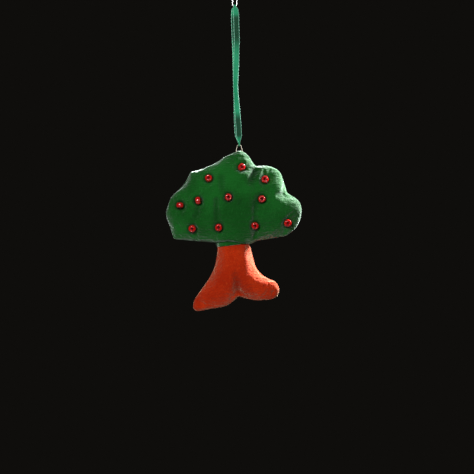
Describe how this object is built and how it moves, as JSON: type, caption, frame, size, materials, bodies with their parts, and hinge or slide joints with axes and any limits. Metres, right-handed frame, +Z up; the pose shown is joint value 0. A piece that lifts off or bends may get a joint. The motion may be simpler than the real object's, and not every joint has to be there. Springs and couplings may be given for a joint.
{
  "type": "christmas tree ornament",
  "caption": "Stuffed felt tree ornament with a lobed crown and a footed trunk, sewn glass beads on its front, hung by a ribbon and a thread loop from a wire hook.",
  "frame": {"origin": "where the wire hook's crook bears on the branch that holds the ornament", "axes": "+Z up, +X to the viewer's right, and the beaded front faces -Y"},
  "size_m": [0.0783, 0.0219, 0.2173],
  "materials": {
    "wire": "bright drawn wire",
    "ribbon": "narrow woven satin",
    "thread": "twisted sewing thread",
    "green_felt": "matte felt",
    "brown_felt": "matte felt",
    "stuffing": "loose fibre",
    "bead": "polished, opaque",
    "stitch": "sewing thread"
  },
  "bodies": {
    "hook": {"wire_hook": "wire"},
    "ribbon": {"ribbon_loop": "ribbon"},
    "thread": {"thread_loop": "thread"},
    "tree": {"foliage_front_cover": "green_felt", "foliage_back_cover": "green_felt", "foliage_stuffing": "stuffing", "trunk_front_cover": "brown_felt", "trunk_back_cover": "brown_felt", "trunk_stuffing": "stuffing", "bead_01": "bead", "bead_02": "bead", "bead_03": "bead", "bead_04": "bead", "bead_05": "bead", "bead_06": "bead", "bead_07": "bead", "bead_08": "bead", "bead_09": "bead", "bead_10": "bead", "bead_11": "bead", "bead_stitch_01": "stitch", "bead_stitch_02": "stitch", "bead_stitch_03": "stitch", "bead_stitch_04": "stitch", "bead_stitch_05": "stitch", "bead_stitch_06": "stitch", "bead_stitch_07": "stitch", "bead_stitch_08": "stitch", "bead_stitch_09": "stitch", "bead_stitch_10": "stitch", "bead_stitch_11": "stitch"}
  },
  "joints": [
    {"name": "ribbon_swing", "type": "hinge", "parent": "hook", "child": "ribbon", "pos_m": [0, 0, -0.04], "axis": [1, 0, 0], "range_deg": [-60, 60]},
    {"name": "tree_swing", "type": "hinge", "parent": "ribbon", "child": "thread", "pos_m": [0.0026, 0, -0.12158], "axis": [0, 1, 0], "range_deg": [-40, 40]},
    {"name": "tree_nod", "type": "hinge", "parent": "thread", "child": "tree", "pos_m": [0.0026, 0, -0.12595], "axis": [1, 0, 0], "range_deg": [-40, 40]}
  ]
}
